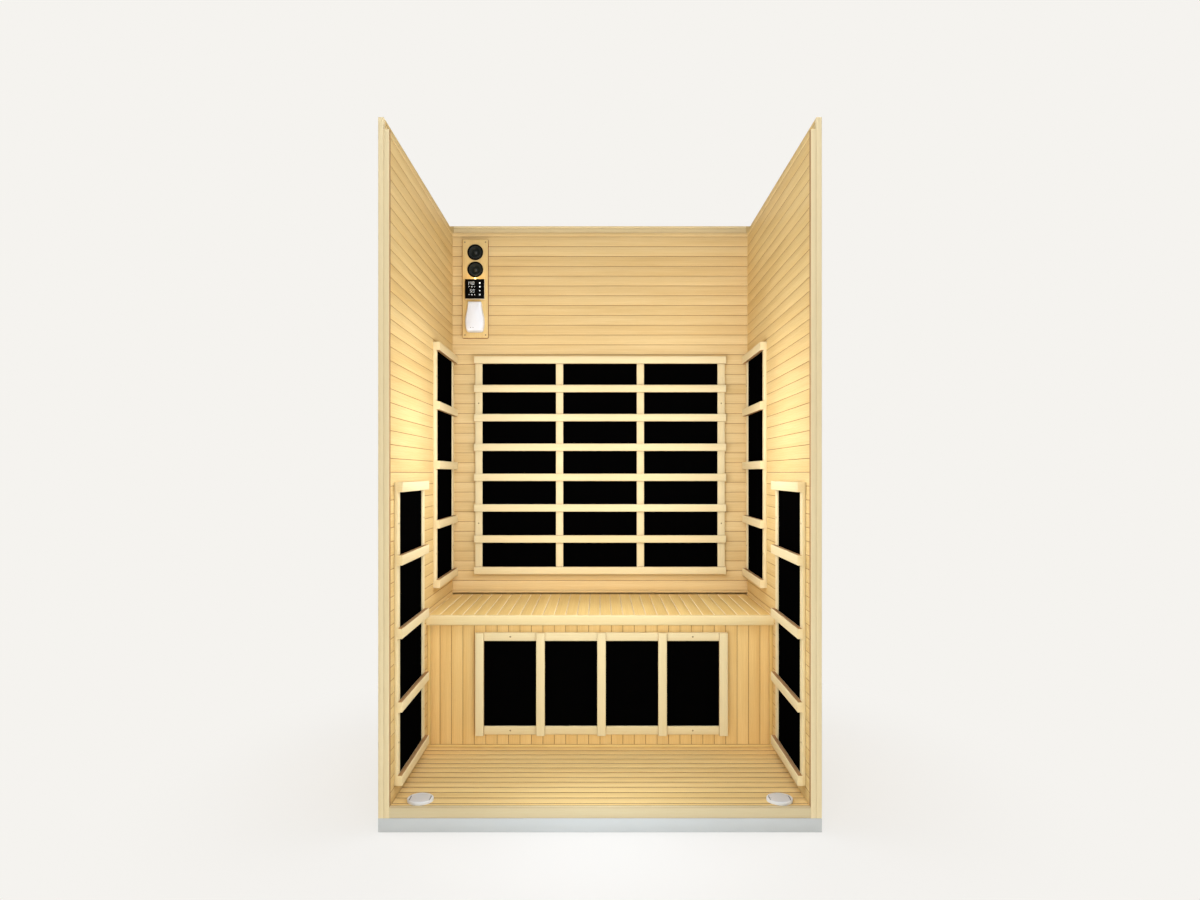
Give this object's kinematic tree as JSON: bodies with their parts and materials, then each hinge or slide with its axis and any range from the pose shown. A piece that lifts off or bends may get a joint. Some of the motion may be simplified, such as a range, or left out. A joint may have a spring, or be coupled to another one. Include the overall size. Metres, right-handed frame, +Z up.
{
  "type": "infrared sauna cabin",
  "caption": "Boarded wooden infrared sauna cabin, open at front and top, with a bench, guarded black heater panels, a control board, floor lights and corner latches.",
  "frame": {"origin": "under the middle of the base, on the surface that the cabin stands on", "axes": "+X to the right seen from the open front, +Y from the open front to the back wall, +Z up"},
  "size_m": [1.2248, 1, 1.934],
  "materials": {
    "wall_wood": "pale boards with a satin oil finish",
    "bench_wood": "pale boards with a satin oil finish",
    "floor_wood": "pale boards with a satin oil finish",
    "trim_wood": "planed pale wood",
    "guard_wood": "planed pale wood",
    "plinth_grey": "light grey laminate",
    "heater_black": "matt black carbon panel",
    "speaker_black": "satin black moulding",
    "cone_paper": "dark coated cone",
    "display_glass": "gloss black touch glass",
    "case_pale": "pale satin moulding",
    "white_plastic": "white satin moulding",
    "lens_grey": "frosted pale grey lens",
    "lamp_lens": "warm lit dome",
    "latch_steel": "bright plated steel"
  },
  "bodies": {
    "cabin": {"plinth_front_rail": "plinth_grey", "plinth_rear_rail": "plinth_grey", "floor_boards": "floor_wood", "floor_front_rail": "trim_wood", "back_top_rail": "trim_wood", "back_bottom_rail": "trim_wood", "back_wall_skin": "wall_wood", "back_wall_lining": "wall_wood", "bench_seat": "bench_wood", "bench_nosing": "trim_wood", "bench_front_panel": "bench_wood", "bench_bottom_trim": "trim_wood", "bench_rear_cleat": "bench_wood", "back_heater_panel": "heater_black", "back_heater_guard": "guard_wood", "calf_heater_panel": "heater_black", "calf_heater_guard": "guard_wood", "control_board": "trim_wood", "upper_speaker_frame": "speaker_black", "lower_speaker_frame": "speaker_black", "reading_lamp": "lamp_lens", "display_case": "case_pale", "display_glass": "display_glass", "ioniser_case": "white_plastic", "left_plinth_rail": "plinth_grey", "right_plinth_rail": "plinth_grey", "left_wall_skin": "wall_wood", "right_wall_skin": "wall_wood", "left_wall_lining": "wall_wood", "right_wall_lining": "wall_wood", "left_front_post": "trim_wood", "right_front_post": "trim_wood", "left_back_post": "trim_wood", "right_back_post": "trim_wood", "left_bench_trim": "trim_wood", "right_bench_trim": "trim_wood", "left_bench_cleat": "bench_wood", "right_bench_cleat": "bench_wood", "left_front_heater_panel": "heater_black", "right_front_heater_panel": "heater_black", "left_front_heater_guard": "guard_wood", "right_front_heater_guard": "guard_wood", "left_rear_heater_panel": "heater_black", "right_rear_heater_panel": "heater_black", "left_rear_heater_guard": "guard_wood", "right_rear_heater_guard": "guard_wood", "left_floor_light_body": "white_plastic", "right_floor_light_body": "white_plastic", "left_latch_base": "latch_steel", "right_latch_base": "latch_steel", "left_latch_keeper": "latch_steel", "right_latch_keeper": "latch_steel"},
    "upper_speaker_cone": {"upper_speaker_cone": "cone_paper"},
    "lower_speaker_cone": {"lower_speaker_cone": "cone_paper"},
    "left_floor_light_lens": {"left_floor_light_lens": "lens_grey"},
    "left_latch_lever": {"left_latch_lever": "latch_steel"},
    "left_latch_bail": {"left_latch_bail": "latch_steel"},
    "right_floor_light_lens": {"right_floor_light_lens": "lens_grey"},
    "right_latch_lever": {"right_latch_lever": "latch_steel"},
    "right_latch_bail": {"right_latch_bail": "latch_steel"}
  },
  "joints": [
    {"name": "upper_speaker_cone_travel", "type": "slide", "parent": "cabin", "child": "upper_speaker_cone", "axis": [0, -1, 0], "range_m": [-0.0015, 0.0015], "stiffness_N_per_m": 600},
    {"name": "lower_speaker_cone_travel", "type": "slide", "parent": "cabin", "child": "lower_speaker_cone", "axis": [0, -1, 0], "range_m": [-0.0015, 0.0015], "stiffness_N_per_m": 600},
    {"name": "left_floor_light_press", "type": "slide", "parent": "cabin", "child": "left_floor_light_lens", "axis": [0, 0, -1], "range_m": [0, 0.002], "stiffness_N_per_m": 500, "springref_m": -0.002},
    {"name": "right_floor_light_press", "type": "slide", "parent": "cabin", "child": "right_floor_light_lens", "axis": [0, 0, -1], "range_m": [0, 0.002], "stiffness_N_per_m": 500, "springref_m": -0.002},
    {"name": "left_latch_lever_turn", "type": "hinge", "parent": "cabin", "child": "left_latch_lever", "pos_m": [-0.608, 0.45, 0.98], "axis": [0, 0, -1], "range_deg": [0, 110]},
    {"name": "left_latch_bail_turn", "type": "hinge", "parent": "left_latch_lever", "child": "left_latch_bail", "pos_m": [-0.608, 0.441, 0.98], "axis": [0, 0, -1], "range_deg": [-110, 0]},
    {"name": "right_latch_lever_turn", "type": "hinge", "parent": "cabin", "child": "right_latch_lever", "pos_m": [0.608, 0.45, 0.98], "axis": [0, 0, 1], "range_deg": [0, 110]},
    {"name": "right_latch_bail_turn", "type": "hinge", "parent": "right_latch_lever", "child": "right_latch_bail", "pos_m": [0.608, 0.441, 0.98], "axis": [0, 0, 1], "range_deg": [-110, 0]}
  ],
  "couplings": [
    {"joint": "left_latch_bail_turn", "follows": "left_latch_lever_turn", "ratio": -1},
    {"joint": "right_latch_bail_turn", "follows": "right_latch_lever_turn", "ratio": -1}
  ]
}
